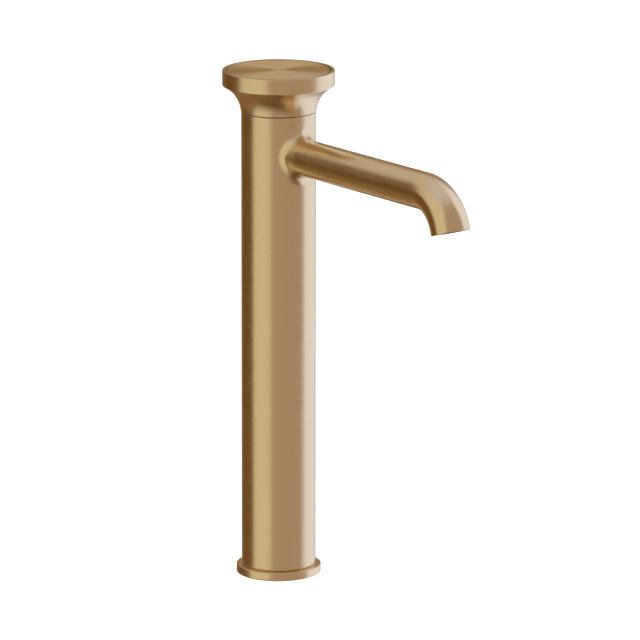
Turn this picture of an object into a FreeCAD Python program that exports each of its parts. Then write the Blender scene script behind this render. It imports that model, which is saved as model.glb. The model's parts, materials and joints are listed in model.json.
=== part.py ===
"""Tall basin mixer: a round column with a fixed spout and one coaxial knob on top.

Units are millimetres. The origin is on the column's axis, on the worktop plane that the base flange
stands on. +Z is up and the spout runs along +X. Cold water is on the +Y side and hot on the -Y side.
The knob turns anticlockwise about +Z, from closed through cold and mixed to hot.
"""
import FreeCAD, Part
import os
from math import cos, radians, sin, sqrt

V = FreeCAD.Vector
UP = V(0, 0, 1)
FORWARD = V(1, 0, 0)
ORIGIN = V(0, 0, 0)

# ---- driving dimensions: outside ----
COLUMN_R = 22.7
COLUMN_TOP = 288.55
FLANGE_R = 25.95
FLANGE_H = 5.1
KNOB_R = 34.15
KNOB_FOOT_R = 22.95
KNOB_BOTTOM = 289.0
KNOB_TOP = 314.2
FLARE_R = 19.5
FLARE_START_DEG = 5.3
CAP_R = 31.3
CAP_TOP = 314.0
SPOUT_Z = 264.28
SPOUT_R = 11.2
SPOUT_MOUTH_R = 11.75
SPOUT_STRAIGHT_END = 145.775
BEND_R = 26.14
BEND_DEG = 72.2
MOUTH_LENGTH = 2.6
NECK_END = 31.0
ROOT_FILLET = 8.0

# ---- driving dimensions: inside ----
COLUMN_BORE_R = 19.8
BLOCK_BORE_R = 20.6
BLOCK_SEAT = 228.0
BLOCK_TOP = 285.0
POCKET_FLOOR = 250.0
POCKET_R = 17.6
INLET_X = -5.0
INLET_Y = 9.0
TIE_X = 3.0
STUD_X = 14.0
BLOCK_BOTTOM = 0.3
BASE_BLOCK_TOP = 26.0
RISER_R = 4.0
RISER_BORE_R = 3.0
SPOUT_BORE_R = 8.5
MOUTH_BORE_R = 9.4
MOUTH_BORE_DEPTH = 8.0
STEM_R = 5.9
STEM_BORE_R = 5.98
TURN_DEG = 110.0
PORT_MID_DEG = 30.0
PORT_HALF_DEG = 17.0
SPLINE_TEETH = 20

INLETS = {"cold": INLET_Y, "hot": -INLET_Y}


# ---- shape helpers ----
def rod(radius, z0, z1, x=0.0, y=0.0):
    """Upright solid cylinder."""
    return Part.makeCylinder(radius, z1 - z0, V(x, y, z0), UP)


def lying_rod(radius, x0, x1, z):
    """Solid cylinder along +X at height z."""
    return Part.makeCylinder(radius, x1 - x0, V(x0, 0, z), FORWARD)


def tube(outer, inner, z0, z1, x=0.0, y=0.0):
    """Upright ring or tube."""
    return rod(outer, z0, z1, x, y).cut(rod(inner, z0, z1, x, y))


def o_ring(centre_radius, section_radius, z, x=0.0, y=0.0):
    """Round-section ring lying flat at height z."""
    return Part.makeTorus(centre_radius, section_radius, V(x, y, z), UP)


def outline_face(points, arcs=None):
    """Face in the XZ plane through (radius, z) points; arcs gives the centre of an edge that is an arc."""
    arcs = arcs or {}
    corners = [V(r, 0, z) for r, z in points]
    edges = []
    for i, start in enumerate(corners):
        end = corners[(i + 1) % len(corners)]
        if i in arcs:
            centre = V(arcs[i][0], 0, arcs[i][1])
            middle = (start + end) * 0.5 - centre
            middle.multiply((start - centre).Length / middle.Length)
            edges.append(Part.Arc(start, centre + middle, end).toShape())
        else:
            edges.append(Part.LineSegment(start, end).toShape())
    return Part.Face(Part.Wire(edges))


def turned(points, arcs=None, angle=360.0):
    """Solid turned about the Z axis from its half outline."""
    return outline_face(points, arcs).revolve(ORIGIN, UP, angle)


def sector(inner, outer, z0, z1, start_deg, end_deg):
    """Part of a ring between two angles about the Z axis."""
    solid = turned([(inner, z0), (outer, z0), (outer, z1), (inner, z1)], angle=end_deg - start_deg)
    solid.rotate(ORIGIN, UP, start_deg)
    return solid


def polar(radius, angle_deg):
    """X and Y of a point at this radius and angle."""
    return radius * cos(radians(angle_deg)), radius * sin(radians(angle_deg))


def kidney(inner, outer, z0, z1, start_deg, end_deg):
    """Curved slot with round ends, its end centres at the two angles."""
    solid = sector(inner, outer, z0, z1, start_deg, end_deg)
    for angle in (start_deg, end_deg):
        x, y = polar((inner + outer) / 2, angle)
        solid = solid.fuse(rod((outer - inner) / 2, z0, z1, x, y))
    return solid.removeSplitter()


def prism(points, z0, z1):
    """Upright prism over a closed outline of (x, y) points."""
    corners = [V(x, y, z0) for x, y in points]
    return Part.Face(Part.makePolygon(corners + corners[:1])).extrude(V(0, 0, z1 - z0))


def hexagon(across_flats, z0, z1, x=0.0, y=0.0):
    """Upright hexagonal prism."""
    radius = across_flats / sqrt(3)
    corners = [polar(radius, 60 * i) for i in range(6)]
    return prism([(x + px, y + py) for px, py in corners], z0, z1)


def star(tip_radius, root_radius, teeth, z0, z1):
    """Upright prism of a toothed spline."""
    step = 180.0 / teeth
    points = [polar(root_radius if i % 2 else tip_radius, i * step) for i in range(2 * teeth)]
    return prism(points, z0, z1)


def threaded(outer, depth, pitch, z0, z1, inner=0.0):
    """Turned bar or sleeve with V grooves of a thread's pitch round its outside."""
    turns = int((z1 - z0) / pitch)
    margin = (z1 - z0 - turns * pitch) / 2
    points = [(inner, z0), (outer, z0), (outer, z0 + margin + pitch / 8)]
    for i in range(turns):
        low = z0 + margin + i * pitch
        points.append((outer - depth, low + pitch / 2))
        points.append((outer, low + pitch * 7 / 8))
        if i < turns - 1:
            points.append((outer, low + pitch * 9 / 8))
    points += [(outer, z1), (inner, z1)]
    return turned(points)


def moved(shape, x=0.0, y=0.0, z=0.0):
    """The shape, shifted."""
    shape.translate(V(x, y, z))
    return shape


def circle_edges(shape, radius, z):
    """Edges that lie wholly on one circle about the Z axis."""
    found = []
    for edge in shape.Edges:
        spots = [edge.valueAt(t) for t in (edge.FirstParameter, edge.LastParameter)]
        spots.append(edge.valueAt((edge.FirstParameter + edge.LastParameter) / 2))
        if all(abs(p.z - z) < 1e-3 and abs(sqrt(p.x**2 + p.y**2) - radius) < 1e-3 for p in spots):
            found.append(edge)
    return found


def rounded(shape, radius, z, fillet):
    """Round off the circular edge of this radius and height."""
    return shape.makeFillet(fillet, circle_edges(shape, radius, z))


def round_face(radius, centre):
    """Flat disc facing up."""
    return Part.Face(Part.Wire(Part.makeCircle(radius, centre)))


def perforated(radius, hole, spacing, rings, z0, z1):
    """Disc with round holes on a hexagonal grid."""
    holes = []
    for i in range(-rings, rings + 1):
        for j in range(-rings, rings + 1):
            if abs(i + j) <= rings:
                holes.append(V(spacing * (i + j / 2), spacing * j * sqrt(3) / 2, z0))
    plate = round_face(radius, V(0, 0, z0)).cut([round_face(hole, centre) for centre in holes])
    return plate.extrude(V(0, 0, z1 - z0))


# ---- base ----
FLANGE_STEP_Z = 2.9
FLANGE_STEP_R = 21.7
FLANGE_BOTTOM_ROUND = 0.6
FLANGE_TOP_ROUND = 0.4
GASKET_INNER = 22.6
GASKET_OUTER = 24.6
GASKET_DEPTH = 1.8
PORT_R = 4.5
PORT_END = 13.0
SOCKET_FLOOR = 15.0
SOCKET_R = 4.05
RISER_SEAL_R = 4.7
RISER_SEAL_SECTION = 0.65
RISER_TOP = 231.0
LOWER_SEAL_Z = 21.0
UPPER_SEAL_Z = 226.0
TIE_R = 3.0
TIE_PITCH = 1.0
TIE_THREAD_DEPTH = 0.5
TIE_SHANK_R = 2.6
TIE_HOLE_R = 3.3
TIE_Z = (3.0, 24.0, 220.0, 235.0)
TIE_WASHER_R = 5.5
TIE_WASHER_HOLE_R = 3.2
TIE_WASHER_H = 1.0
TIE_NUT_FLATS = 10.0
TIE_NUT_CORNER_R = 5.6
TIE_NUT_H = 5.0
NUT_POCKET_R = 6.0
NUT_POCKET_TOP = 10.0
STUD_HOLE_R = 3.4
STUD_HOLE_LENGTH = 16.0
SLIP = 0.05


def base_flange():
    bore = COLUMN_BORE_R - SLIP
    body = turned([(FLANGE_STEP_R, 0), (FLANGE_R, 0), (FLANGE_R, FLANGE_H), (bore, FLANGE_H),
                   (bore, FLANGE_STEP_Z), (FLANGE_STEP_R, FLANGE_STEP_Z)])
    body = rounded(body, FLANGE_R, 0, FLANGE_BOTTOM_ROUND)
    body = rounded(body, FLANGE_R, FLANGE_H, FLANGE_TOP_ROUND)
    return body.cut(tube(GASKET_OUTER, GASKET_INNER, 0, GASKET_DEPTH))


def base_gasket():
    return tube(GASKET_OUTER - SLIP, GASKET_INNER + SLIP, 2 * SLIP, GASKET_DEPTH - SLIP)


def seal_groove(z, y):
    """Space for one riser seal round an inlet's axis."""
    half = RISER_SEAL_SECTION + SLIP
    return rod(RISER_SEAL_R + half, z - half, z + half, INLET_X, y)


def base_block():
    radius = COLUMN_BORE_R - 2 * SLIP
    step_r = FLANGE_STEP_R - 2 * SLIP
    body = turned([(0, BLOCK_BOTTOM), (step_r, BLOCK_BOTTOM), (step_r, FLANGE_STEP_Z),
                   (radius, FLANGE_STEP_Z), (radius, BASE_BLOCK_TOP), (0, BASE_BLOCK_TOP)])
    body = body.cut(rod(TIE_HOLE_R, BLOCK_BOTTOM, BASE_BLOCK_TOP, TIE_X))
    body = body.cut(rod(NUT_POCKET_R, BLOCK_BOTTOM, NUT_POCKET_TOP, TIE_X))
    body = body.cut(rod(STUD_HOLE_R, BLOCK_BOTTOM, BLOCK_BOTTOM + STUD_HOLE_LENGTH, STUD_X))
    for y in INLETS.values():
        body = body.cut(rod(PORT_R, BLOCK_BOTTOM, PORT_END, INLET_X, y))
        body = body.cut(rod(RISER_BORE_R, PORT_END, SOCKET_FLOOR, INLET_X, y))
        body = body.cut(rod(SOCKET_R, SOCKET_FLOOR, BASE_BLOCK_TOP, INLET_X, y))
        body = body.cut(seal_groove(LOWER_SEAL_Z, y))
    return body


def riser(y):
    return tube(RISER_R, RISER_BORE_R, SOCKET_FLOOR + 0.5, RISER_TOP, INLET_X, y)


def riser_seal(z, y):
    return o_ring(RISER_SEAL_R, RISER_SEAL_SECTION, z, INLET_X, y)


def tie_rod():
    bottom, shank_start, shank_end, top = TIE_Z
    lower = threaded(TIE_R, TIE_THREAD_DEPTH, TIE_PITCH, bottom, shank_start)
    upper = threaded(TIE_R, TIE_THREAD_DEPTH, TIE_PITCH, shank_end, top)
    shank = rod(TIE_SHANK_R, shank_start, shank_end)
    return moved(lower.fuse([shank, upper]).removeSplitter(), x=TIE_X)


def tie_washer():
    return tube(TIE_WASHER_R, TIE_WASHER_HOLE_R, NUT_POCKET_TOP - TIE_WASHER_H, NUT_POCKET_TOP, TIE_X)


def tie_nut():
    top = NUT_POCKET_TOP - TIE_WASHER_H
    bottom = top - TIE_NUT_H
    body = hexagon(TIE_NUT_FLATS, bottom, top, TIE_X)
    return body.common(rod(TIE_NUT_CORNER_R, bottom, top, TIE_X)).cut(rod(TIE_R + SLIP, bottom, top, TIE_X))


# ---- column and spout ----
GLIDE_SEAT_Z = 287.2
GLIDE_SEAT_R = 21.7
NECK_BORE_R = 8.8
NECK_BORE_START = 15.0
SPIGOT_R = 9.5
SPIGOT_START = 22.7
COLUMN_FOOT_CHAMFER = 0.8
COLUMN_TOP_CHAMFER = 0.25
BEND_RINGS = 12
MOUTH_ROUND = 0.35
MOUTH_CHAMFER = 0.4
BEND_CENTRE = V(SPOUT_STRAIGHT_END, 0, SPOUT_Z - BEND_R)
MOUTH_TILT = 90.0 - BEND_DEG


def column():
    shaft = rod(COLUMN_R, FLANGE_H, COLUMN_TOP)
    shaft = shaft.makeChamfer(COLUMN_FOOT_CHAMFER, circle_edges(shaft, COLUMN_R, FLANGE_H))
    shaft = shaft.makeChamfer(COLUMN_TOP_CHAMFER, circle_edges(shaft, COLUMN_R, COLUMN_TOP))
    body = shaft.fuse(lying_rod(SPOUT_R, 0, NECK_END, SPOUT_Z))
    root = [e for e in body.Edges if is_root_edge(e)]
    body = body.makeFillet(ROOT_FILLET, root)
    body = body.cut(rod(COLUMN_BORE_R, 0, BLOCK_SEAT))
    body = body.cut(rod(BLOCK_BORE_R, BLOCK_SEAT, KNOB_BOTTOM))
    body = body.cut(rod(GLIDE_SEAT_R, GLIDE_SEAT_Z, KNOB_BOTTOM))
    body = body.cut(lying_rod(NECK_BORE_R, NECK_BORE_START, NECK_END, SPOUT_Z))
    return body.cut(lying_rod(SPIGOT_R + 0.1, SPIGOT_START - 0.1, NECK_END, SPOUT_Z))


def is_root_edge(edge):
    """True for the curve where the neck's cylinder meets the column's."""
    points = [edge.valueAt(edge.FirstParameter + t * (edge.LastParameter - edge.FirstParameter))
              for t in (0.1, 0.5, 0.9)]
    for p in points:
        on_column = abs(sqrt(p.x**2 + p.y**2) - COLUMN_R) < 0.01
        on_neck = abs(sqrt(p.y**2 + (p.z - SPOUT_Z)**2) - SPOUT_R) < 0.01
        if not (on_column and on_neck and p.x > 0):
            return False
    return True


def spout_ring(radius, turn_deg):
    """Circle round the spout's axis, this far round the bend."""
    centre = V(SPOUT_STRAIGHT_END, 0, SPOUT_Z)
    wire = Part.Wire(Part.makeCircle(radius, centre, FORWARD))
    wire.rotate(BEND_CENTRE, V(0, 1, 0), turn_deg)
    return wire


def at_mouth(shape):
    """Move a shape made upright, with the mouth plane at z = 0 and the tube above, to the spout's end."""
    angle = radians(BEND_DEG)
    end_x = BEND_CENTRE.x + BEND_R * sin(angle) + MOUTH_LENGTH * cos(angle)
    end_z = BEND_CENTRE.z + BEND_R * cos(angle) - MOUTH_LENGTH * sin(angle)
    shape.rotate(ORIGIN, V(0, 1, 0), -MOUTH_TILT)
    return moved(shape, x=end_x, z=end_z)


def bend_solid():
    """The bend's outside: its radius swells smoothly from the straight tube's to the mouth's."""
    rings = []
    for i in range(BEND_RINGS + 1):
        t = i / BEND_RINGS
        swell = t * t * (3 - 2 * t)
        rings.append(spout_ring(SPOUT_R + (SPOUT_MOUTH_R - SPOUT_R) * swell, BEND_DEG * t))
    return Part.makeLoft(rings, True, False)


def spout_tube():
    mouth = rounded(rod(SPOUT_MOUTH_R, 0, MOUTH_LENGTH), SPOUT_MOUTH_R, 0, MOUTH_ROUND)
    outside = lying_rod(SPOUT_R, NECK_END, SPOUT_STRAIGHT_END, SPOUT_Z)
    outside = outside.fuse([bend_solid(), at_mouth(mouth)])
    spigot = lying_rod(SPIGOT_R, SPIGOT_START, NECK_END, SPOUT_Z)
    body = outside.fuse(spigot)
    bore_turn = Part.Face(spout_ring(SPOUT_BORE_R, 0))
    bore_turn = bore_turn.revolve(BEND_CENTRE, V(0, 1, 0), BEND_DEG)
    body = body.cut(lying_rod(SPOUT_BORE_R, SPIGOT_START, SPOUT_STRAIGHT_END, SPOUT_Z))
    body = body.cut(bore_turn)
    body = body.cut(at_mouth(rod(MOUTH_BORE_R, 0, MOUTH_BORE_DEPTH)))
    return body.cut(at_mouth(turned([(0, 0), (MOUTH_BORE_R + MOUTH_CHAMFER, 0),
                                     (MOUTH_BORE_R, MOUTH_CHAMFER), (0, MOUTH_CHAMFER)])))


# ---- aerator, made upright with the mouth plane at z = 0 ----
CAGE_R = 9.3
CAGE_BORE_R = 7.6
CAGE_LIP_R = 6.9
CAGE_Z = (0.8, 7.0)
CAGE_LIP_H = 0.8
KEY_SLOT = (2.6, 2.0, 1.2)
GRID_R = 7.55
GRID_HOLE_R = 0.62
GRID_SPACING = 1.55
GRID_RINGS = 4
GRID_Z = (1.65, 3.05)
SCREEN_R = 7.5
SCREEN_HOLE_R = 0.42
SCREEN_SPACING = 1.1
SCREEN_RINGS = 6
SCREEN_Z = (3.1, 3.4)
REGULATOR_Z = (3.5, 5.0, 6.6)
REGULATOR_CONE = (5.0, 4.6)
REGULATOR_HOLES = 12
REGULATOR_HOLE_R = 0.55
REGULATOR_HOLE_CIRCLE_R = 6.2
REGULATOR_STAR = (3.4, 2.2, 6)
REGULATOR_STAR_FLOOR = 4.6
AERATOR_SEAL_BORE_R = 6.0
AERATOR_SEAL_H = 0.9


def aerator_housing():
    bottom, top = CAGE_Z
    lip_top = bottom + CAGE_LIP_H
    body = turned([(CAGE_LIP_R, bottom), (CAGE_R, bottom), (CAGE_R, top), (CAGE_BORE_R, top),
                   (CAGE_BORE_R, lip_top), (CAGE_LIP_R, lip_top)])
    for i in range(4):
        slot = Part.makeBox(*KEY_SLOT, V(CAGE_BORE_R, -KEY_SLOT[1] / 2, bottom))
        slot.rotate(ORIGIN, UP, 90 * i + 45)
        body = body.cut(slot)
    return at_mouth(body)


def aerator_grid():
    return at_mouth(perforated(GRID_R, GRID_HOLE_R, GRID_SPACING, GRID_RINGS, *GRID_Z))


def aerator_screen():
    return at_mouth(perforated(SCREEN_R, SCREEN_HOLE_R, SCREEN_SPACING, SCREEN_RINGS, *SCREEN_Z))


def flow_regulator():
    bottom, plate_top, top = REGULATOR_Z
    foot_r, tip_r = REGULATOR_CONE
    body = turned([(0, bottom), (SCREEN_R, bottom), (SCREEN_R, plate_top), (foot_r, plate_top),
                   (tip_r, top), (0, top)])
    for i in range(REGULATOR_HOLES):
        x, y = polar(REGULATOR_HOLE_CIRCLE_R, 360 * i / REGULATOR_HOLES)
        body = body.cut(rod(REGULATOR_HOLE_R, bottom, plate_top, x, y))
    return at_mouth(body.cut(star(*REGULATOR_STAR, REGULATOR_STAR_FLOOR, top)))


def aerator_gasket():
    top = MOUTH_BORE_DEPTH - SLIP
    return at_mouth(tube(MOUTH_BORE_R - 0.2, AERATOR_SEAL_BORE_R, top - AERATOR_SEAL_H, top))


# ---- valve block ----
THREAD_R = 18.2
THREAD_Z = 277.0
BLOCK_R = 20.5
VALVE_BLOCK_BOTTOM = 220.0
RISER_SOCKET_TOP = 232.0
TIE_TAP_TOP = 236.0
WATERWAY_R = 6.5
WATERWAY_X = (15.0, 21.0)
CHAMBER_R = 18.6
CHAMBER_Z = (258.0, 270.0)
BLOCK_SEAL_R = 19.72
BLOCK_SEAL_SECTION = 0.85
BLOCK_SEALS_Z = {"lower": 248.0, "upper": 274.5}
PEG_HOLE_R = 1.6
PEG_HOLE_DEPTH = 1.6

# ---- cartridge ----
DISC_FLOOR = 254.5
DISC_FACE = 258.2
BASE_R = 17.3
BASE_PLAY = 0.3
LOCATING_PEG_R = 1.5
LOCATING_PEG_LENGTH = 1.4
LUG_X = 9.0
LUG_Y = 8.0
PORT_INNER_R = 8.0
PORT_OUTER_R = 12.0
PASSAGE_REACH = {"cold": 117.0, "hot": 243.0}
INLET_SEAL_R = 5.6
INLET_SEAL_BORE_R = 4.0
INLET_SEAL_H = 2.05
PEG_CIRCLE_R = 13.0
PEG_R = 1.0
PEG_LENGTH = 1.1
PEG_ANGLES = (-40.0, 40.0)
FIXED_DISC_R = 15.4
MOVING_DISC_R = 15.0
MOVING_DISC_H = 3.25
PIN_ANGLES = (-90.0, 0.0, 180.0)
PIN_CIRCLE_R = 10.0
PIN_R = 1.2
PIN_LENGTH = 1.4
DRIVER_R = 14.5
DRIVER_Z = (261.6, 265.6)
DRIVER_SOCKET_FLATS = 10.2
DRIVER_SOCKET_FLOOR = 262.5
STEM_FOOT = 262.6
STEM_HEX_FLATS = 10.0
STEM_FLANGE_R = 9.0
STEM_FLANGE_Z = (265.7, 268.5)
STEM_LUG_R = (7.0, 12.8)
STEM_SHOULDER = 284.0
STEM_TOP = 307.2
STEM_SPLINE = (4.0, 3.7)
STEM_GROOVE_Z = (279.2, 280.8)
STEM_GROOVE_R = 4.45
STEM_SEAL_R = 5.2
STEM_SEAL_SECTION = 0.72
STEM_TAP_R = 2.0
STEM_TAP_BOTTOM = 297.0
STEM_WASHER_Z = (268.6, 269.4)
STOP_Z = (266.0, 269.8)
STOP_RING_BORE_R = 13.2
STOP_BLOCK_R = (9.4, 14.0)
STOP_KEY = (2.0, 2.8)
STOP_KEY_X = -16.4
LUG_HALF_DEG = 10.0
STOP_SLACK_DEG = 1.0
HOUSING_R = 17.4
HOUSING_BORE_R = 15.6
HOUSING_CEILING = 270.0
HOUSING_NECK_R = 13.8
HOUSING_TOP = 284.5
HOUSING_GROOVE_Z = (272.6, 274.4)
HOUSING_GROOVE_R = 15.9
HOUSING_SEAL_R = 16.75
HOUSING_SEAL_SECTION = 0.8
WINDOW = (5.0, 8.0, 9.0)
WINDOW_X = 13.5
WINDOW_Z = 259.0
KEYWAY = (3.0, 3.0)
KEYWAY_X = -16.6
NUT_FLATS = 32.0
NUT_CORNER_R = 18.0
NUT_BORE_R = 14.2
NUT_TOP = 288.0
GLIDE_RING_BORE_R = 20.7
GLIDE_RING_TOP = 288.85


def valve_block():
    radius = COLUMN_BORE_R - 2 * SLIP
    seat = BLOCK_SEAT + SLIP
    body = turned([(0, VALVE_BLOCK_BOTTOM), (radius, VALVE_BLOCK_BOTTOM), (radius, seat),
                   (BLOCK_R, seat), (BLOCK_R, BLOCK_TOP), (0, BLOCK_TOP)])
    body = body.cut(rod(POCKET_R, POCKET_FLOOR, BLOCK_TOP))
    body = body.cut(rod(THREAD_R, THREAD_Z, BLOCK_TOP))
    body = body.cut(rod(CHAMBER_R, *CHAMBER_Z))
    body = body.cut(lying_rod(WATERWAY_R, *WATERWAY_X, SPOUT_Z))
    body = body.cut(rod(TIE_R + SLIP, VALVE_BLOCK_BOTTOM, TIE_TAP_TOP, TIE_X))
    groove_floor = BLOCK_SEAL_R - BLOCK_SEAL_SECTION - 0.02
    groove_half = BLOCK_SEAL_SECTION + 2 * SLIP
    for z in BLOCK_SEALS_Z.values():
        body = body.cut(tube(BLOCK_R, groove_floor, z - groove_half, z + groove_half))
    for y in INLETS.values():
        body = body.cut(rod(RISER_BORE_R, RISER_SOCKET_TOP, POCKET_FLOOR, INLET_X, y))
        body = body.cut(rod(SOCKET_R, VALVE_BLOCK_BOTTOM, RISER_SOCKET_TOP, INLET_X, y))
        body = body.cut(seal_groove(UPPER_SEAL_Z, y))
    for y in (LUG_Y, -LUG_Y):
        body = body.cut(rod(PEG_HOLE_R, POCKET_FLOOR - PEG_HOLE_DEPTH, POCKET_FLOOR, LUG_X, y))
    return body


def block_oring(z):
    return o_ring(BLOCK_SEAL_R, BLOCK_SEAL_SECTION, z)


def port_angles(side):
    """First and last angle of one inlet's slot in the discs; cold is before 180 degrees, hot after."""
    middle = 180.0 - PORT_MID_DEG if side == "cold" else 180.0 + PORT_MID_DEG
    return middle - PORT_HALF_DEG, middle + PORT_HALF_DEG


def cartridge_base():
    bottom = POCKET_FLOOR + BASE_PLAY
    body = rod(BASE_R, bottom, DISC_FLOOR)
    for side, y in INLETS.items():
        body = body.cut(rod(INLET_SEAL_R + 2 * SLIP, bottom, POCKET_FLOOR + INLET_SEAL_H + SLIP, INLET_X, y))
        start, end = port_angles(side)
        reach = (PASSAGE_REACH[side], end - 2.0) if side == "cold" else (start + 2.0, PASSAGE_REACH[side])
        body = body.cut(kidney(PORT_INNER_R, PORT_OUTER_R, POCKET_FLOOR + 2.0, DISC_FLOOR, *reach))
    for y in (LUG_Y, -LUG_Y):
        body = body.fuse(rod(LOCATING_PEG_R, POCKET_FLOOR - LOCATING_PEG_LENGTH, bottom, LUG_X, y))
    for angle in PEG_ANGLES:
        body = body.fuse(rod(PEG_R, DISC_FLOOR, DISC_FLOOR + PEG_LENGTH, *polar(PEG_CIRCLE_R, angle)))
    return body.removeSplitter()


def inlet_seal(y):
    return tube(INLET_SEAL_R, INLET_SEAL_BORE_R, POCKET_FLOOR, POCKET_FLOOR + INLET_SEAL_H, INLET_X, y)


def fixed_disc():
    body = rod(FIXED_DISC_R, DISC_FLOOR, DISC_FACE)
    for side in INLETS:
        body = body.cut(sector(PORT_INNER_R, PORT_OUTER_R, DISC_FLOOR, DISC_FACE, *port_angles(side)))
    for angle in PEG_ANGLES:
        x, y = polar(PEG_CIRCLE_R, angle)
        body = body.cut(rod(PEG_R + 0.1, DISC_FLOOR, DISC_FLOOR + PEG_LENGTH + 0.2, x, y))
    return body


def notch(inner, z0, z1):
    """Open sector that uncovers first the cold slot and then the hot one as the knob turns."""
    start, end = port_angles("cold")
    width = 2 * PORT_MID_DEG + 10.0
    return sector(inner, 17.0, z0, z1, start - 3.0 - width, start - 3.0)


def moving_disc():
    bottom = DISC_FACE + SLIP
    top = bottom + MOVING_DISC_H
    body = rod(MOVING_DISC_R, bottom, top).cut(notch(7.5, bottom, top))
    for angle in PIN_ANGLES:
        body = body.cut(rod(PIN_R + 0.1, top - PIN_LENGTH - 0.1, top, *polar(PIN_CIRCLE_R, angle)))
    return body


def disc_driver():
    bottom, top = DRIVER_Z
    body = rod(DRIVER_R, bottom, top).cut(notch(9.0, bottom, top))
    body = body.cut(hexagon(DRIVER_SOCKET_FLATS, DRIVER_SOCKET_FLOOR, top))
    for angle in PIN_ANGLES:
        body = body.fuse(rod(PIN_R, bottom - PIN_LENGTH, bottom, *polar(PIN_CIRCLE_R, angle)))
    return body.removeSplitter()


def stem():
    flange_bottom, flange_top = STEM_FLANGE_Z
    body = hexagon(STEM_HEX_FLATS, STEM_FOOT, flange_bottom)
    body = body.fuse(rod(STEM_FLANGE_R, flange_bottom, flange_top))
    body = body.fuse(sector(*STEM_LUG_R, flange_bottom, flange_top, -LUG_HALF_DEG, LUG_HALF_DEG))
    body = body.fuse(rod(STEM_R, flange_top, STEM_SHOULDER))
    body = body.fuse(star(*STEM_SPLINE, SPLINE_TEETH, STEM_SHOULDER, STEM_TOP))
    body = body.cut(tube(STEM_R + 0.5, STEM_GROOVE_R, *STEM_GROOVE_Z))
    return body.cut(rod(STEM_TAP_R, STEM_TAP_BOTTOM, STEM_TOP)).removeSplitter()


def stem_oring():
    return o_ring(STEM_SEAL_R, STEM_SEAL_SECTION, sum(STEM_GROOVE_Z) / 2)


def stem_washer():
    return tube(STEM_FLANGE_R, STEM_R + 0.15, *STEM_WASHER_Z)


def stop_ring():
    bottom, top = STOP_Z
    body = tube(HOUSING_BORE_R - 2 * SLIP, STOP_RING_BORE_R, bottom, top)
    first = TURN_DEG + LUG_HALF_DEG + STOP_SLACK_DEG
    last = 360.0 - LUG_HALF_DEG - STOP_SLACK_DEG
    body = body.fuse(sector(*STOP_BLOCK_R, bottom, top, first, last))
    key = Part.makeBox(*STOP_KEY, top - bottom, V(STOP_KEY_X, -STOP_KEY[1] / 2, bottom))
    return body.fuse(key).removeSplitter()


def cartridge_housing():
    groove_bottom, groove_top = HOUSING_GROOVE_Z
    body = turned([(HOUSING_BORE_R, DISC_FLOOR), (HOUSING_R, DISC_FLOOR), (HOUSING_R, groove_bottom),
                   (HOUSING_GROOVE_R, groove_bottom), (HOUSING_GROOVE_R, groove_top),
                   (HOUSING_R, groove_top), (HOUSING_R, THREAD_Z), (HOUSING_NECK_R, THREAD_Z),
                   (HOUSING_NECK_R, HOUSING_TOP), (STEM_BORE_R, HOUSING_TOP),
                   (STEM_BORE_R, HOUSING_CEILING), (HOUSING_BORE_R, HOUSING_CEILING)])
    for i in range(4):
        window = Part.makeBox(*WINDOW, V(WINDOW_X, -WINDOW[1] / 2, WINDOW_Z))
        window.rotate(ORIGIN, UP, 90 * i + 45)
        body = body.cut(window)
    keyway = Part.makeBox(*KEYWAY, HOUSING_CEILING - DISC_FLOOR, V(KEYWAY_X, -KEYWAY[1] / 2, DISC_FLOOR))
    return body.cut(keyway)


def housing_oring():
    return o_ring(HOUSING_SEAL_R, HOUSING_SEAL_SECTION, sum(HOUSING_GROOVE_Z) / 2)


def cartridge_nut():
    shoulder = BLOCK_TOP + 2 * SLIP
    sleeve = threaded(THREAD_R - 2 * SLIP, 0.5, 1.0, THREAD_Z + SLIP, shoulder, inner=NUT_BORE_R)
    head = hexagon(NUT_FLATS, shoulder, NUT_TOP).common(rod(NUT_CORNER_R, BLOCK_TOP, NUT_TOP))
    return sleeve.fuse(head.cut(rod(NUT_BORE_R, BLOCK_TOP, NUT_TOP))).removeSplitter()


def glide_ring():
    return tube(GLIDE_SEAT_R - 2 * SLIP, GLIDE_RING_BORE_R, GLIDE_SEAT_Z, GLIDE_RING_TOP)


# ---- knob ----
FLARE_CENTRE = (KNOB_FOOT_R + FLARE_R * cos(radians(FLARE_START_DEG)),
                KNOB_BOTTOM - FLARE_R * sin(radians(FLARE_START_DEG)))
RECESS_R = 31.9
RECESS_FLOOR = 311.2
RECESS_ROUND = 0.2
RIM_LOWER_ROUND = 0.5
RIM_UPPER_ROUND = 0.4
FOOT_CHAMFER = 0.15
WALL = 2.0
WALL_TOP = 304.5
WEB_BOTTOM = 308.0
HUB_BOTTOM = 297.0
HUB_R = 9.0
HUB_BORE_R = 6.0
HUB_BORE_TOP = 307.5
SCREW_HOLE_R = 2.3
SCREW_POCKET_R = 5.0
WASHER_SEAT = 309.0
WASHER_TOP = 309.6
INSERT_R = 5.95
INSERT_TOP = 307.4
INSERT_SPLINE = (4.05, 3.75)
SCREW_R = 1.98
SCREW_THREAD = (0.3, 0.7)
SCREW_BOTTOM = 298.0
SCREW_HEAD_R = 3.5
SCREW_TOP = 311.0
SCREW_SOCKET_FLATS = 2.5
SCREW_SOCKET_FLOOR = 310.0
KNOB_WASHER_R = 4.6
KNOB_WASHER_BORE_R = 2.1
CAP_GROOVE_Z = (312.0, 313.2)
CAP_GROOVE_R = 30.5
CAP_ROUND = 0.25
CAP_SEAL_R = 31.18
CAP_SEAL_SECTION = 0.6


def flare_z(radius, offset=0.0):
    """Height of the flare's arc, or of one offset into the wall, at this radius."""
    return FLARE_CENTRE[1] + sqrt((FLARE_R + offset)**2 - (FLARE_CENTRE[0] - radius)**2)


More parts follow.
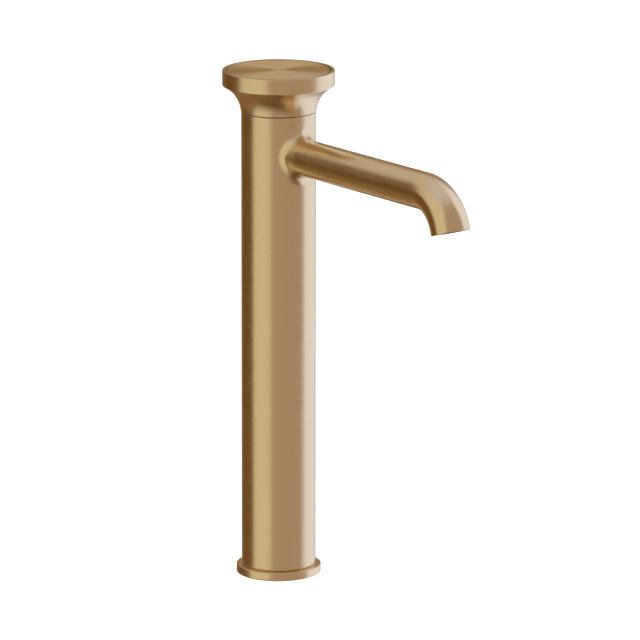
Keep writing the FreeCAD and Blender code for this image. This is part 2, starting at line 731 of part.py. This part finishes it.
def flare_radius(z, offset=0.0):
    """Radius of the flare's arc, or of one offset into the wall, at this height."""
    return FLARE_CENTRE[0] - sqrt((FLARE_R + offset)**2 - (z - FLARE_CENTRE[1])**2)


def knob():
    inner_r = flare_radius(WALL_TOP, WALL)
    points = [
        (flare_radius(KNOB_BOTTOM, WALL), KNOB_BOTTOM), (KNOB_FOOT_R, KNOB_BOTTOM),
        (KNOB_R, flare_z(KNOB_R)), (KNOB_R, KNOB_TOP), (RECESS_R, KNOB_TOP), (RECESS_R, RECESS_FLOOR),
        (SCREW_POCKET_R, RECESS_FLOOR), (SCREW_POCKET_R, WASHER_SEAT), (SCREW_HOLE_R, WASHER_SEAT),
        (SCREW_HOLE_R, HUB_BORE_TOP), (HUB_BORE_R, HUB_BORE_TOP), (HUB_BORE_R, HUB_BOTTOM),
        (HUB_R, HUB_BOTTOM), (HUB_R, WEB_BOTTOM), (inner_r, WEB_BOTTOM), (inner_r, WALL_TOP),
    ]
    outer_arc, inner_arc = 1, len(points) - 1
    body = turned(points, {outer_arc: FLARE_CENTRE, inner_arc: FLARE_CENTRE})
    body = rounded(body, KNOB_R, flare_z(KNOB_R), RIM_LOWER_ROUND)
    body = rounded(body, KNOB_R, KNOB_TOP, RIM_UPPER_ROUND)
    body = rounded(body, RECESS_R, KNOB_TOP, RECESS_ROUND)
    return body.makeChamfer(FOOT_CHAMFER, circle_edges(body, KNOB_FOOT_R, KNOB_BOTTOM))


def spline_insert():
    bottom = HUB_BOTTOM - 0.5
    body = rod(INSERT_R, bottom, INSERT_TOP)
    return body.cut(star(*INSERT_SPLINE, SPLINE_TEETH, bottom, INSERT_TOP))


def knob_screw():
    head = rod(SCREW_HEAD_R, WASHER_TOP, SCREW_TOP)
    head = head.cut(hexagon(SCREW_SOCKET_FLATS, SCREW_SOCKET_FLOOR, SCREW_TOP))
    return threaded(SCREW_R, *SCREW_THREAD, SCREW_BOTTOM, WASHER_TOP).fuse(head).removeSplitter()


def knob_washer():
    return tube(KNOB_WASHER_R, KNOB_WASHER_BORE_R, WASHER_SEAT, WASHER_TOP)


def cap_disc():
    bottom = RECESS_FLOOR + 0.2
    groove_bottom, groove_top = CAP_GROOVE_Z
    body = turned([(0, bottom), (CAP_R, bottom), (CAP_R, groove_bottom), (CAP_GROOVE_R, groove_bottom),
                   (CAP_GROOVE_R, groove_top), (CAP_R, groove_top), (CAP_R, CAP_TOP), (0, CAP_TOP)])
    return rounded(body, CAP_R, CAP_TOP, CAP_ROUND)


def cap_oring():
    return o_ring(CAP_SEAL_R, CAP_SEAL_SECTION, sum(CAP_GROOVE_Z) / 2)


# ---- every piece, by node name ----
PARTS = {
    "base_flange": base_flange(),
    "base_gasket": base_gasket(),
    "base_block": base_block(),
    "tie_rod": tie_rod(),
    "tie_washer": tie_washer(),
    "tie_nut": tie_nut(),
    "column": column(),
    "spout_tube": spout_tube(),
    "aerator_housing": aerator_housing(),
    "aerator_grid": aerator_grid(),
    "aerator_screen": aerator_screen(),
    "flow_regulator": flow_regulator(),
    "aerator_gasket": aerator_gasket(),
    "valve_block": valve_block(),
    "cartridge_base": cartridge_base(),
    "fixed_disc": fixed_disc(),
    "stop_ring": stop_ring(),
    "cartridge_housing": cartridge_housing(),
    "housing_oring": housing_oring(),
    "cartridge_nut": cartridge_nut(),
    "glide_ring": glide_ring(),
    "moving_disc": moving_disc(),
    "disc_driver": disc_driver(),
    "stem": stem(),
    "stem_oring": stem_oring(),
    "stem_washer": stem_washer(),
    "knob": knob(),
    "spline_insert": spline_insert(),
    "knob_screw": knob_screw(),
    "knob_washer": knob_washer(),
    "cap_disc": cap_disc(),
    "cap_oring": cap_oring(),
}
for side, offset in INLETS.items():
    PARTS["riser_" + side] = riser(offset)
    PARTS["riser_seal_" + side + "_lower"] = riser_seal(LOWER_SEAL_Z, offset)
    PARTS["riser_seal_" + side + "_upper"] = riser_seal(UPPER_SEAL_Z, offset)
    PARTS["inlet_seal_" + side] = inlet_seal(offset)
for level, height in BLOCK_SEALS_Z.items():
    PARTS["block_oring_" + level] = block_oring(height)

os.makedirs("parts", exist_ok=True)
for name, shape in PARTS.items():
    solids = shape.Solids
    if len(solids) != 1 or not shape.isValid():
        raise ValueError(name + " is not one valid solid")
    solids[0].exportStep("parts/" + name + ".step")
print(len(PARTS), "sub-parts written")
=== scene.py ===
"""Studio picture of the tall basin mixer, in metres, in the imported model's frame.

The brass tap stands on a white table. Soft panels of light stand all round it, drawn in the world's
shader as soft-edged patches of sky, so that the metal reflects them from every side.
"""
import json
import math

import bpy
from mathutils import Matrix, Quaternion, Vector


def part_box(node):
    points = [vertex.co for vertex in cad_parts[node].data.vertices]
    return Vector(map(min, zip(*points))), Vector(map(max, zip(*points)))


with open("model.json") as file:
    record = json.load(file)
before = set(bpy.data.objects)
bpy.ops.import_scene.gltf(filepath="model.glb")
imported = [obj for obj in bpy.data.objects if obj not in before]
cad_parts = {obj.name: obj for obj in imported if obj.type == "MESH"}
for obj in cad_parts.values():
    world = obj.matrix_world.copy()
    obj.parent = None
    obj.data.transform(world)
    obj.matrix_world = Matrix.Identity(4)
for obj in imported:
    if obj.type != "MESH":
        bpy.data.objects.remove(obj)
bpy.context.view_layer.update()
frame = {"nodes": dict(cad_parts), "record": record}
nodes = frame["nodes"]

# ---- camera: angles in degrees, lengths in metres, lens and sensor in millimetres ----
VIEW_AZIMUTH = 54.05
VIEW_ELEVATION = 13.37
CAMERA_DISTANCE = 3.6118
CAMERA_LENS = 332.6
CAMERA_ROLL = 0.08
CAMERA_NEAR = 0.05
CAMERA_FAR = 60.0
SENSOR_WIDTH = 36.0
AIM_HEIGHT = 0.155
AIM_RIGHT = 0.02527
AIM_UP = 0.0034

# ---- table ----
FLOOR_SIZE = 30.0
FLOOR_DROP = 0.0002
FLOOR_COLOUR = (0.9, 0.9, 0.9, 1)
FLOOR_ROUGHNESS = 0.8
FLOOR_GLOW = 0.8


def make_camera():
    azimuth = math.radians(VIEW_AZIMUTH)
    elevation = math.radians(VIEW_ELEVATION)
    right = Vector((math.cos(azimuth), math.sin(azimuth), 0))
    back = Vector((math.sin(azimuth), -math.cos(azimuth), 0)) * math.cos(elevation)
    back.z = math.sin(elevation)
    up = back.cross(right)
    data = bpy.data.cameras.new("camera")
    data.lens = CAMERA_LENS
    data.sensor_width = SENSOR_WIDTH
    data.clip_start = CAMERA_NEAR
    data.clip_end = CAMERA_FAR
    camera = bpy.data.objects.new("camera", data)
    bpy.context.scene.collection.objects.link(camera)
    target = Vector((0, 0, AIM_HEIGHT))
    camera.location = target + back * CAMERA_DISTANCE
    look = target + right * AIM_RIGHT + up * AIM_UP - camera.location
    camera.rotation_mode = "QUATERNION"
    roll = Quaternion((0, 0, 1), math.radians(CAMERA_ROLL))
    camera.rotation_quaternion = look.to_track_quat("-Z", "Y") @ roll
    bpy.context.scene.camera = camera


# ---- node helpers ----
# most of a noise's values lie between these
NOISE_LOW = 0.3
NOISE_HIGH = 0.7


class Graph:
    """Short ways to add and join shader nodes. An input is a number, a tuple or another node's output."""

    def __init__(self, tree):
        self.tree = tree
        tree.nodes.clear()

    def add(self, kind, inputs=None, output=0, **settings):
        """A node with its settings and inputs; returns the output asked for."""
        node = self.tree.nodes.new(kind)
        for key, value in settings.items():
            setattr(node, key, value)
        for key, value in (inputs or {}).items():
            self.feed(node.inputs[key], value)
        return node.outputs[output] if node.outputs else node

    def feed(self, socket, value):
        if isinstance(value, bpy.types.NodeSocket):
            self.tree.links.new(value, socket)
        else:
            socket.default_value = value

    def math(self, operation, *values):
        return self.add("ShaderNodeMath", dict(enumerate(values)), operation=operation)

    def vector(self, operation, *values, output=0):
        return self.add("ShaderNodeVectorMath", dict(enumerate(values)), output, operation=operation)

    def combine(self, x=0.0, y=0.0, z=0.0):
        return self.add("ShaderNodeCombineXYZ", {0: x, 1: y, 2: z})

    def split(self, vector):
        return self.add("ShaderNodeSeparateXYZ", {0: vector}).node.outputs

    def ramp(self, value, low, high, out_low=0.0, out_high=1.0):
        """Smooth step of value from low to high."""
        inputs = {0: value, 1: low, 2: high, 3: out_low, 4: out_high}
        return self.add("ShaderNodeMapRange", inputs, interpolation_type="SMOOTHSTEP")

    def spread(self, noise, out_low=0.0, out_high=1.0):
        """A noise's usual values, spread over this range."""
        return self.ramp(noise, NOISE_LOW, NOISE_HIGH, out_low, out_high)

    def noise(self, vector, scale, detail=2.0):
        return self.add("ShaderNodeTexNoise", {"Vector": vector, "Scale": scale, "Detail": detail})

    def mix(self, factor, a, b):
        """Blend of two numbers."""
        node = self.tree.nodes.new("ShaderNodeMix")
        for key, value in (("Factor", factor), (2, a), (3, b)):
            self.feed(node.inputs[key], value)
        return node.outputs[0]

    def mix_colour(self, factor, a, b):
        """Blend of two colours or of two vectors; a plain (r, g, b) is a colour too."""
        node = self.tree.nodes.new("ShaderNodeMix")
        node.data_type = "RGBA"
        for key, value in (("Factor", factor), (6, a), (7, b)):
            self.feed(node.inputs[key], (*value, 1) if isinstance(value, tuple) else value)
        return node.outputs[2]

    def finish(self, surface):
        self.add("ShaderNodeOutputMaterial", {"Surface": surface})


# ---- world: panels of light on a dim warm sky ----
# Azimuth 0 is towards the main camera, positive to the right of the picture; elevation 0 is the horizon.
# Each panel: left and right edges, then lower and upper edges, each with the width of its soft border,
# all in degrees, and the panel's radiance. A later panel covers an earlier one. None is an open side.
SKY = (0.145, 0.062, 0.014)
PANELS = {
    "underneath": ((-200, 20), (-96, 16), (-66, 24), (-22, 24), (0.25, 0.145, 0.066)),
    "behind": ((120, 10), (215, 30), (-24, 20), (20, 20), (0.25, 0.15, 0.072)),
    "overhead": (None, None, (25, 22), None, (0.59, 0.50, 0.42)),
    "left_front_top": ((-86, 30), (0, 30), (40, 24), None, (0.60, 0.57, 0.58)),
    "left_side": ((-100, 8), (-76, 12), (4, 12), (44, 20), (0.62, 0.52, 0.40)),
    "left_front": ((-86, 10), (-21, 12), (-50, 30), (38, 24), (0.70, 0.61, 0.46)),
    "front": ((-21, 12), (83, 10), (-46, 26), (62, 30), (0.435, 0.318, 0.240)),
    "front_right_low": ((20, 20), (75, 20), (-75, 20), (-30, 16), (0.24, 0.13, 0.07)),
    "zenith": (None, None, (64, 26), None, (0.60, 0.57, 0.61)),
    "right_back": ((84, 10), (160, 46), (-85, 40), (60, 36), (0.87, 0.885, 1.04)),
    "back_right_top": ((146, 30), (184, 16), (12, 16), (42, 28), (0.34, 0.23, 0.13)),
}
BACKDROP = (1, 1, 1)
# the main camera's own azimuth, from +X, when VIEW_AZIMUTH is 0
CAMERA_START = -90


def edge_mask(g, value, edge, inward):
    """0 outside a panel's soft edge and 1 inside it. inward is 1 for a lower edge, -1 for an upper one."""
    place, soft = edge
    return g.ramp(value, place - soft / 2, place + soft / 2, (1 - inward) / 2, (1 + inward) / 2)


def panel_mask(g, azimuth, elevation, left, right, low, high):
    """1 inside a panel and 0 outside it."""
    masks = []
    if left:
        middle = (left[0] + right[0]) / 2
        turned = g.math("WRAP", g.math("SUBTRACT", azimuth, middle), 180.0, -180.0)
        masks.append(edge_mask(g, turned, (left[0] - middle, left[1]), 1))
        masks.append(edge_mask(g, turned, (right[0] - middle, right[1]), -1))
    if low:
        masks.append(edge_mask(g, elevation, low, 1))
    if high:
        masks.append(edge_mask(g, elevation, high, -1))
    product = masks[0]
    for mask in masks[1:]:
        product = g.math("MULTIPLY", product, mask)
    return product


def make_world():
    world = bpy.data.worlds.new("studio")
    bpy.context.scene.world = world
    world.use_nodes = True
    g = Graph(world.node_tree)
    x, y, z = g.split(g.add("ShaderNodeTexCoord", output="Generated"))
    azimuth = g.math("SUBTRACT", g.math("DEGREES", g.math("ARCTAN2", y, x)), VIEW_AZIMUTH + CAMERA_START)
    elevation = g.math("DEGREES", g.math("ARCSINE", z))
    colour = SKY
    for *edges, radiance in PANELS.values():
        colour = g.mix_colour(panel_mask(g, azimuth, elevation, *edges), colour, radiance)
    # seen directly, the world is a plain white backdrop
    colour = g.mix_colour(g.add("ShaderNodeLightPath", output="Is Camera Ray"), colour, BACKDROP)
    background = g.add("ShaderNodeBackground", {"Color": colour, "Strength": 1.0})
    g.add("ShaderNodeOutputWorld", {"Surface": background})


def make_floor():
    half = FLOOR_SIZE / 2
    corners = [(x, y, -FLOOR_DROP) for x, y in ((-half, -half), (half, -half), (half, half), (-half, half))]
    mesh = bpy.data.meshes.new("table")
    mesh.from_pydata(corners, [], [(0, 1, 2, 3)])
    floor = bpy.data.objects.new("table", mesh)
    bpy.context.scene.collection.objects.link(floor)
    material, g = new_material("white_table")
    g.finish(g.add("ShaderNodeBsdfPrincipled", {
        "Base Color": FLOOR_COLOUR, "Roughness": FLOOR_ROUGHNESS, "Emission Color": (1, 1, 1, 1),
        "Emission Strength": FLOOR_GLOW,
    }))
    mesh.materials.append(material)
    # the table lights and mirrors nothing: the metal sees only the panels
    floor.visible_glossy = False
    floor.visible_diffuse = False
    floor.visible_shadow = False


# ---- materials ----
BRASS = (0.86, 0.72, 0.48)
# the spun top cap's brass is set lighter than BRASS: a painted highlight that brightens the knob's top
LIT_SPUN_BRASS = (0.98, 0.81, 0.49)
GROOVES_PER_METRE = 5200.0
ACROSS_SCALE = 12.0
GROOVE_BUMP = 0.00002
GROOVE_ROUGHNESS = 0.03
GROOVE_SHADE = 0.975
GROOVE_SHADE_RANGE = (0.25, 0.75)
CLOUD_SCALE = 40.0
CLOUD_ROUGHNESS = 0.012
# the spout's axis: straight along +X, then bent down about +Y
SPOUT_RADIUS = 0.0112
BEND_START = 0.145775
BEND_RADIUS = 0.02614
SPOUT_AXIS_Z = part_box("spout_tube")[1].z - SPOUT_RADIUS
# the column's grooves give way to the spout's within the neck's blend, at these distances from the axis
NECK_FROM = 0.0235
NECK_TO = 0.0285

TOOL_MARKS_ACROSS = 20.0
TOOL_MARKS_ROUGHNESS = (-0.05, 0.07)
STAIN_SCALE = 160.0
FINE_BUMP = 0.00003
FINE_BUMP_STRENGTH = 0.15
GRAINS_PER_MOTTLE = 6.0
GRAIN_ROUGHNESS = 0.06


def new_material(name):
    material = bpy.data.materials.new(name)
    material.use_nodes = True
    return material, Graph(material.node_tree)


def groove_noise(g, position, along):
    """Noise drawn out into long fine grooves, which follow each other along the given length."""
    x, y, _ = g.split(position)
    drawn_out = g.combine(g.math("MULTIPLY", x, ACROSS_SCALE), g.math("MULTIPLY", y, ACROSS_SCALE),
                          g.math("MULTIPLY", along, GROOVES_PER_METRE))
    return g.noise(drawn_out, 1.0)


def turned_finish(g, position, normal):
    """Direction of a lathe-turned finish's grooves, round the Z axis, and their noise."""
    x, y, z = g.split(position)
    flat = g.combine(x, y)
    around = g.vector("CROSS_PRODUCT", (0, 0, 1), flat)
    radius = g.vector("LENGTH", flat, output=1)
    return g.vector("NORMALIZE", around), groove_noise(g, position, g.math("ADD", radius, z))


def spout_finish(g, position, normal):
    """The same round the spout's own axis, through the bend."""
    x, _, z = g.split(position)
    past = g.math("MAXIMUM", g.math("SUBTRACT", x, BEND_START), 0.0)
    above = g.math("SUBTRACT", z, SPOUT_AXIS_Z - BEND_RADIUS)
    axis = g.vector("NORMALIZE", g.combine(above, 0.0, g.math("MULTIPLY", past, -1.0)))
    bend = g.math("MULTIPLY", g.math("ARCTAN2", past, above), BEND_RADIUS)
    along = g.math("ADD", g.math("MINIMUM", x, BEND_START), bend)
    return g.vector("CROSS_PRODUCT", axis, normal), groove_noise(g, position, along)


def column_finish(g, position, normal):
    """Turned grooves on the column, which give way to the spout's on its neck."""
    x, _, _ = g.split(position)
    share = g.ramp(x, NECK_FROM, NECK_TO)
    column_way, column_lines = turned_finish(g, position, normal)
    neck_way, neck_lines = spout_finish(g, position, normal)
    way = g.mix_colour(share, column_way, neck_way)
    return way, g.mix(share, column_lines, neck_lines)


def brushed_brass(name, finish, roughness=0.29, anisotropy=0.3, depth=0.015, colour=BRASS):
    """Brass brushed in fine grooves, which spread its reflections across them."""
    material, g = new_material(name)
    position = g.add("ShaderNodeTexCoord", output="Object")
    normal = g.add("ShaderNodeNewGeometry", output="Normal")
    around, lines = finish(g, position, normal)
    cloud = g.noise(position, CLOUD_SCALE, 3.0)
    rough = g.math("ADD", g.spread(lines, roughness - GROOVE_ROUGHNESS, roughness + GROOVE_ROUGHNESS),
                   g.spread(cloud, -CLOUD_ROUGHNESS, CLOUD_ROUGHNESS))
    dull = tuple(GROOVE_SHADE * c for c in colour)
    g.finish(g.add("ShaderNodeBsdfPrincipled", {
        "Base Color": g.mix_colour(g.ramp(lines, *GROOVE_SHADE_RANGE), dull, colour),
        "Metallic": 1.0,
        "Roughness": rough,
        "Anisotropic": anisotropy,
        "Tangent": g.vector("CROSS_PRODUCT", normal, around),
        "Normal": g.add("ShaderNodeBump", {"Strength": depth, "Distance": GROOVE_BUMP, "Height": lines}),
    }))
    return material


def machined_metal(name, dull, bright, roughness, ring_scale=1500.0):
    """Bare metal off a lathe or saw, with fine tool marks and faint stains."""
    material, g = new_material(name)
    position = g.add("ShaderNodeTexCoord", output="Object")
    x, y, z = g.split(position)
    radius = g.vector("LENGTH", g.combine(x, y), output=1)
    rings = g.math("MULTIPLY", g.math("ADD", radius, z), ring_scale)
    marks = g.noise(g.combine(g.math("MULTIPLY", x, TOOL_MARKS_ACROSS),
                              g.math("MULTIPLY", y, TOOL_MARKS_ACROSS), rings), 1.0)
    stains = g.noise(position, STAIN_SCALE, 4.0)
    smooth, rough = (roughness + change for change in TOOL_MARKS_ROUGHNESS)
    bump = {"Strength": FINE_BUMP_STRENGTH, "Distance": FINE_BUMP, "Height": marks}
    g.finish(g.add("ShaderNodeBsdfPrincipled", {
        "Base Color": g.mix_colour(g.spread(stains), dull, bright),
        "Metallic": 1.0,
        "Roughness": g.spread(marks, smooth, rough),
        "Normal": g.add("ShaderNodeBump", bump),
    }))
    return material


def moulded(name, dark, light, roughness, grain, bump=FINE_BUMP_STRENGTH):
    """Rubber, polymer or fired ceramic: mottled colour over a fine grain."""
    material, g = new_material(name)
    position = g.add("ShaderNodeTexCoord", output="Object")
    mottle = g.noise(position, grain / GRAINS_PER_MOTTLE, 4.0)
    fine = g.noise(position, grain, 3.0)
    g.finish(g.add("ShaderNodeBsdfPrincipled", {
        "Base Color": g.mix_colour(g.spread(mottle), dark, light),
        "Roughness": g.spread(fine, roughness - GRAIN_ROUGHNESS, roughness + GRAIN_ROUGHNESS),
        "Normal": g.add("ShaderNodeBump", {"Strength": bump, "Distance": FINE_BUMP, "Height": fine}),
    }))
    return material


def make_materials():
    """Every node's material, by node name."""
    by_slot = {
        "brushed_brass": brushed_brass("brushed_brass", turned_finish),
        # the spun cap's lighter colour is a painted highlight for the light falling on the knob's top
        "spun_brass": brushed_brass("spun_brass", turned_finish, 0.36, anisotropy=0.9, colour=LIT_SPUN_BRASS),
        "machined_brass": machined_metal("machined_brass", (0.70, 0.52, 0.25), (0.84, 0.67, 0.38), 0.33),
        "copper_tube": machined_metal("copper_tube", (0.62, 0.30, 0.18), (0.88, 0.52, 0.38), 0.30, 500.0),
        "stainless_steel": machined_metal("stainless_steel", (0.50, 0.50, 0.51), (0.63, 0.63, 0.64), 0.28),
        "black_rubber": moulded("black_rubber", (0.012, 0.012, 0.013), (0.030, 0.030, 0.031), 0.66, 2600.0),
        "alumina_ceramic": moulded("alumina_ceramic", (0.76, 0.75, 0.70), (0.86, 0.85, 0.81), 0.24, 3000.0,
                                   0.04),
        "black_polymer": moulded("black_polymer", (0.014, 0.014, 0.016), (0.030, 0.030, 0.034), 0.44, 2200.0),
        "white_polymer": moulded("white_polymer", (0.70, 0.70, 0.67), (0.80, 0.80, 0.78), 0.40, 1800.0, 0.08),
        "bronze_filled_ptfe": moulded("bronze_filled_ptfe", (0.16, 0.09, 0.04), (0.34, 0.21, 0.10), 0.55,
                                      3200.0),
    }
    by_node = {row["node"]: by_slot[row["material_slot"]] for row in frame["record"]["subparts"]}
    by_node["column"] = brushed_brass("brushed_brass_column", column_finish)
    by_node["spout_tube"] = brushed_brass("brushed_brass_spout", spout_finish, roughness=0.24,
                                          anisotropy=0.0, depth=0.008)
    return by_node


make_camera()
make_world()
make_floor()
for node_name, node_material in make_materials().items():
    for slot in nodes[node_name].material_slots:
        slot.material = node_material

bpy.context.scene.view_settings.view_transform = "Standard"
bpy.context.scene.view_settings.look = "None"
